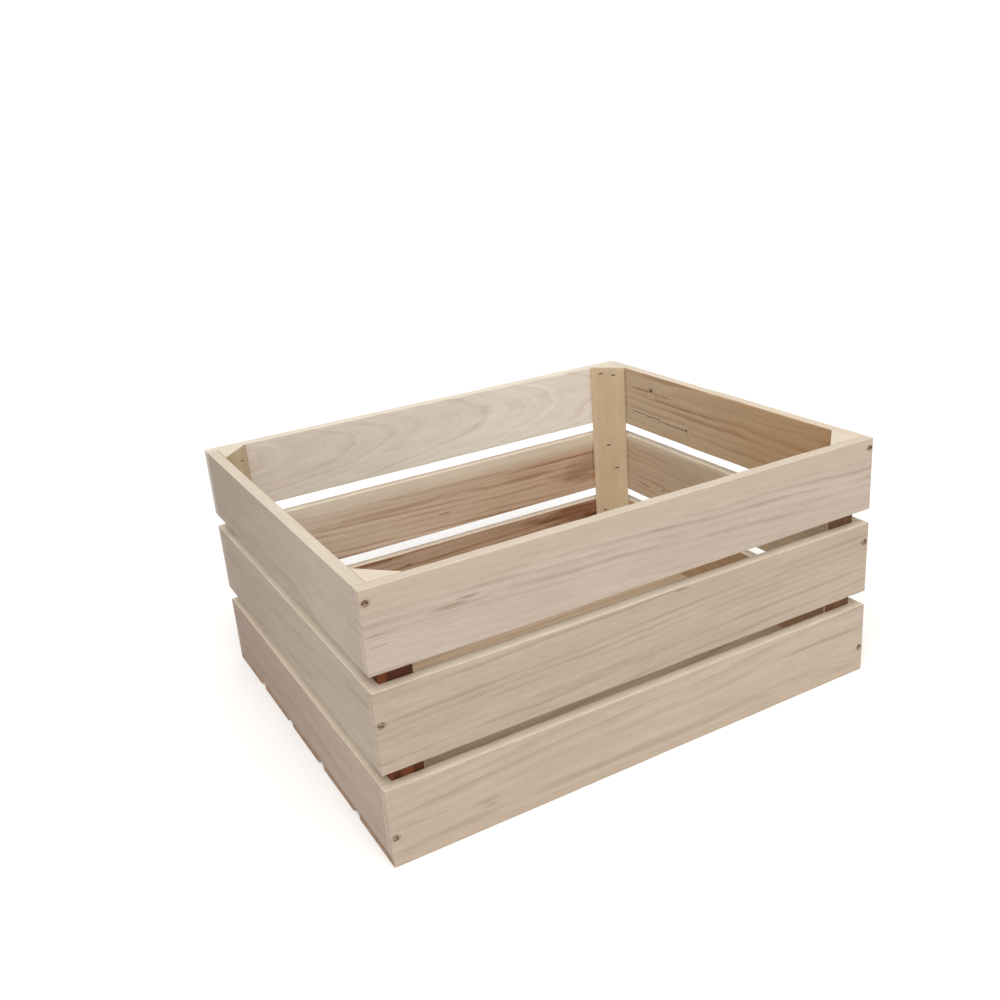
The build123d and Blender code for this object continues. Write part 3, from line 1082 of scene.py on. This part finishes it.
for node, look in LOOKS.items():
    mesh, place, (length, thickness), slot = wood_shape(node, look.seed)
    piece = add_object(node + "_wood", mesh, place)
    torn = brads_in(node)
    combine(piece, join(cutters_of(node)), "DIFFERENCE")
    if torn:
        combine(piece, fibres(torn, random.Random(look.seed)).mesh("splinters"), "UNION")
    shade(piece.data)
    piece.data.materials.clear()
    bruises = []
    for _, seat in torn:
        along, across = (place.inverted() @ seat.translation).xz
        bruises.append((along / MM, across / MM))
    finish = wood(node + "_finish", look, length / 2 / MM, thickness / 2 / MM, bruises)
    piece.data.materials.append(finish)
    dress(piece, node)

NAIL_STEEL = steel("nail_finish", (0.30, 0.215, 0.14), (0.15, 0.085, 0.045), 1.5)
# The staples are very dark: rusty wire, and painted shade, as if their crowns sat sunk in the wood.
STAPLE_STEEL = steel("staple_finish", (0.085, 0.06, 0.035), (0.04, 0.022, 0.011), 2.5)
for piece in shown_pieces():
    if "nails" in piece.name:
        piece.data.materials.append(NAIL_STEEL)
    elif "staples" in piece.name:
        piece.data.materials.append(STAPLE_STEEL)


# --- the studio ---

GROUND = -0.2 * MM  # the ground lies just under the crate
GROUND_SEGMENTS = 64
# Radius and height of the ground's rings, rising gently to a low wall.
GROUND_RINGS = ((3.0, 0.0), (4.5, 0.03), (5.8, 0.22), (6.8, 0.65), (7.5, 1.3), (7.9, 2.1), (8.0, 2.9))
GROUND_COLOR = (0.9, 0.9, 0.9, 1)
SKY_COLOR, SKY_STRENGTH = (1.0, 0.995, 0.985, 1), 0.5
SUN_COLOR, SUN_STRENGTH = (1.0, 0.985, 0.96), 2.65
SUN_WIDTH = math.radians(50)  # a wide sun, so that the shadows are soft
SUN_WAY = Vector((0.25, 0.55, -1.0))  # where its light goes

LENS_MM, SENSOR_MM = 37.93, 36.0
CAMERA_PLACE = (-0.4667, -0.8319, 0.5513)
CAMERA_TURNS = (27.92, 21.165, -4.54)  # azimuth, dip and roll, in degrees


def studio():
    """A pale floor that rises gently to a low wall all round, a soft sun and an even sky."""
    points, faces = [(0, 0, GROUND)], []
    for radius, height in GROUND_RINGS:
        for k in range(GROUND_SEGMENTS):
            a = 2 * math.pi * k / GROUND_SEGMENTS
            points.append((radius * math.cos(a), radius * math.sin(a), height + GROUND))
    for k in range(GROUND_SEGMENTS):
        j = (k + 1) % GROUND_SEGMENTS
        faces.append((0, 1 + k, 1 + j))
        for ring in range(len(GROUND_RINGS) - 1):
            low, high = 1 + ring * GROUND_SEGMENTS, 1 + (ring + 1) * GROUND_SEGMENTS
            faces.append((low + k, high + k, high + j, low + j))
    mesh = make_mesh("studio_floor", points, faces)
    shade(mesh)
    floor = add_object("studio_floor", mesh)
    s = Shader("studio_floor_finish")
    shader = s.add("ShaderNodeBsdfPrincipled")
    shader.inputs["Base Color"].default_value = GROUND_COLOR
    shader.inputs["Roughness"].default_value = 0.9
    shader.inputs["Specular IOR Level"].default_value = 0.1
    s.tree.links.new(shader.outputs[0], s.add("ShaderNodeOutputMaterial").inputs["Surface"])
    mesh.materials.append(s.material)

    world = bpy.data.worlds.new("studio_world")
    bpy.context.scene.world = world
    world.use_nodes = True
    background = world.node_tree.nodes["Background"]
    background.inputs["Color"].default_value = SKY_COLOR
    background.inputs["Strength"].default_value = SKY_STRENGTH

    light = bpy.data.lights.new("sun", "SUN")
    light.energy = SUN_STRENGTH
    light.angle = SUN_WIDTH
    light.color = SUN_COLOR
    sun = bpy.data.objects.new("sun", light)
    bpy.context.scene.collection.objects.link(sun)
    sun.rotation_euler = SUN_WAY.to_track_quat("-Z", "Y").to_euler()


def camera():
    """Where the crate is seen from: the front-left, looking down, slightly turned."""
    data = bpy.data.cameras.new("camera")
    data.lens = LENS_MM
    data.sensor_width = SENSOR_MM
    cam = bpy.data.objects.new("camera", data)
    bpy.context.scene.collection.objects.link(cam)
    azimuth, dip, roll = (math.radians(angle) for angle in CAMERA_TURNS)
    view = Vector((math.sin(azimuth) * math.cos(dip), math.cos(azimuth) * math.cos(dip), -math.sin(dip)))
    level = Vector((math.cos(azimuth), -math.sin(azimuth), 0))
    right = level * math.cos(roll) + level.cross(view) * math.sin(roll)
    turn = Matrix((right, right.cross(view), -view)).transposed()
    cam.matrix_world = Matrix.Translation(CAMERA_PLACE) @ turn.to_4x4()
    bpy.context.scene.camera = cam


studio()
camera()
bpy.context.scene.view_settings.view_transform = "Standard"
